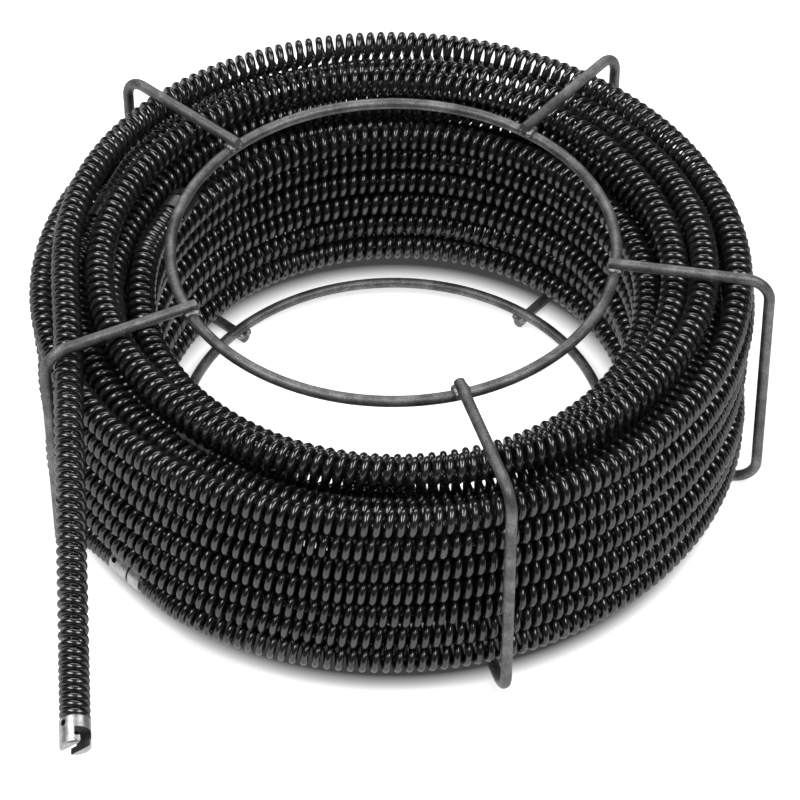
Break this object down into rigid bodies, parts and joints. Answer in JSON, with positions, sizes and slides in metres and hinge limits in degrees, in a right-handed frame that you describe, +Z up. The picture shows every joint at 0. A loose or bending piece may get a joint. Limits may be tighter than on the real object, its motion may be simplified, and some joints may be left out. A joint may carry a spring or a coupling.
{
  "type": "sectional drain auger cable in a wire carrier",
  "caption": "Long open-wound spring drain cable made of plug-together sections, coiled in an open round-rod wire carrier, with one free end hanging out.",
  "frame": {"origin": "on the axis of the carrier's rings, at the floor under the lower spokes", "axes": "+Z up along the carrier's axis; -Y is the side towards which the free end of the cable hangs out; +X to the right seen from that side"},
  "size_m": [0.402, 0.5015, 0.1537],
  "materials": {
    "carrier_rod": "satin dark grey mill finish on round steel rod",
    "weld_metal": "bare weld metal",
    "cable_wire": "glossy near-black oiled spring wire",
    "coupling_steel": "bright turned and zinc-plated steel",
    "plunger_steel": "dark hardened steel",
    "spring_steel": "plain spring steel"
  },
  "bodies": {
    "carrier": {"bottom_ring": "carrier_rod", "top_ring": "carrier_rod", "spoke_1": "carrier_rod", "spoke_2": "carrier_rod", "spoke_3": "carrier_rod", "spoke_4": "carrier_rod", "spoke_5": "carrier_rod", "weld_beads": "weld_metal"},
    "coil": {"spring_cable_01": "cable_wire", "spring_cable_02": "cable_wire", "spring_cable_03": "cable_wire", "spring_cable_04": "cable_wire", "spring_cable_05": "cable_wire", "spring_cable_06": "cable_wire", "spring_cable_07": "cable_wire", "spring_cable_08": "cable_wire", "spring_cable_09": "cable_wire", "spring_cable_10": "cable_wire", "male_coupling_01": "coupling_steel", "male_coupling_02": "coupling_steel", "male_coupling_03": "coupling_steel", "male_coupling_04": "coupling_steel", "male_coupling_05": "coupling_steel", "male_coupling_06": "coupling_steel", "male_coupling_07": "coupling_steel", "male_coupling_08": "coupling_steel", "male_coupling_09": "coupling_steel", "male_coupling_10": "coupling_steel", "female_coupling_01": "coupling_steel", "female_coupling_02": "coupling_steel", "female_coupling_03": "coupling_steel", "female_coupling_04": "coupling_steel", "female_coupling_05": "coupling_steel", "female_coupling_06": "coupling_steel", "female_coupling_07": "coupling_steel", "female_coupling_08": "coupling_steel", "female_coupling_09": "coupling_steel", "plunger_spring_01": "spring_steel", "plunger_spring_02": "spring_steel", "plunger_spring_03": "spring_steel", "plunger_spring_04": "spring_steel", "plunger_spring_05": "spring_steel", "plunger_spring_06": "spring_steel", "plunger_spring_07": "spring_steel", "plunger_spring_08": "spring_steel", "plunger_spring_09": "spring_steel", "plunger_spring_10": "spring_steel"},
    "tail_middle": {"spring_cable_10_tail_middle": "cable_wire"},
    "tail_end": {"spring_cable_10_tail_end": "cable_wire", "female_coupling_10": "coupling_steel"},
    "detent_01": {"detent_plunger_01": "plunger_steel"},
    "detent_02": {"detent_plunger_02": "plunger_steel"},
    "detent_03": {"detent_plunger_03": "plunger_steel"},
    "detent_04": {"detent_plunger_04": "plunger_steel"},
    "detent_05": {"detent_plunger_05": "plunger_steel"},
    "detent_06": {"detent_plunger_06": "plunger_steel"},
    "detent_07": {"detent_plunger_07": "plunger_steel"},
    "detent_08": {"detent_plunger_08": "plunger_steel"},
    "detent_09": {"detent_plunger_09": "plunger_steel"},
    "detent_10": {"detent_plunger_10": "plunger_steel"}
  },
  "joints": [
    {"name": "coil_turn", "type": "hinge", "parent": "carrier", "child": "coil", "pos_m": [0, 0, 0.077], "axis": [0, 0, 1], "range_deg": [0, 62]},
    {"name": "tail_swing", "type": "hinge", "parent": "coil", "child": "tail_middle", "pos_m": [-0.1667, -0.1311, 0.1316], "axis": [0, 0, 1], "range_deg": [-25, 25]},
    {"name": "tail_lift", "type": "hinge", "parent": "tail_middle", "child": "tail_end", "pos_m": [-0.1617, -0.2064, 0.1128], "axis": [-0.9978, -0.066, 0], "range_deg": [-20, 25]},
    {"name": "detent_press_01", "type": "slide", "parent": "coil", "child": "detent_01", "axis": [-0.4067, -0.9132, -0.0232], "range_m": [0, 0.0023], "stiffness_N_per_m": 900, "deforming": ["plunger_spring_01"]},
    {"name": "detent_press_02", "type": "slide", "parent": "coil", "child": "detent_02", "axis": [0.7352, -0.6777, -0.0148], "range_m": [0, 0.0023], "stiffness_N_per_m": 900, "deforming": ["plunger_spring_02"]},
    {"name": "detent_press_03", "type": "slide", "parent": "coil", "child": "detent_03", "axis": [0.8065, 0.5912, -0.0016], "range_m": [0, 0.0023], "stiffness_N_per_m": 900, "deforming": ["plunger_spring_03"]},
    {"name": "detent_press_04", "type": "slide", "parent": "coil", "child": "detent_04", "axis": [0.9998, 0.0051, 0.0187], "range_m": [0, 0.0023], "stiffness_N_per_m": 900, "deforming": ["plunger_spring_04"]},
    {"name": "detent_press_05", "type": "slide", "parent": "coil", "child": "detent_05", "axis": [0.7631, -0.6461, 0.0155], "range_m": [0, 0.0023], "stiffness_N_per_m": 900, "deforming": ["plunger_spring_05"]},
    {"name": "detent_press_06", "type": "slide", "parent": "coil", "child": "detent_06", "axis": [-0.3409, -0.94, -0.0163], "range_m": [0, 0.0023], "stiffness_N_per_m": 900, "deforming": ["plunger_spring_06"]},
    {"name": "detent_press_07", "type": "slide", "parent": "coil", "child": "detent_07", "axis": [-0.3198, 0.9473, -0.0196], "range_m": [0, 0.0023], "stiffness_N_per_m": 900, "deforming": ["plunger_spring_07"]},
    {"name": "detent_press_08", "type": "slide", "parent": "coil", "child": "detent_08", "axis": [0.6728, -0.7397, 0.0141], "range_m": [0, 0.0023], "stiffness_N_per_m": 900, "deforming": ["plunger_spring_08"]},
    {"name": "detent_press_09", "type": "slide", "parent": "coil", "child": "detent_09", "axis": [0.0437, 0.9989, 0.0149], "range_m": [0, 0.0023], "stiffness_N_per_m": 900, "deforming": ["plunger_spring_09"]},
    {"name": "detent_press_10", "type": "slide", "parent": "coil", "child": "detent_10", "axis": [-0.707, -0.7071, 0.0126], "range_m": [0, 0.0023], "stiffness_N_per_m": 900, "deforming": ["plunger_spring_10"]}
  ]
}
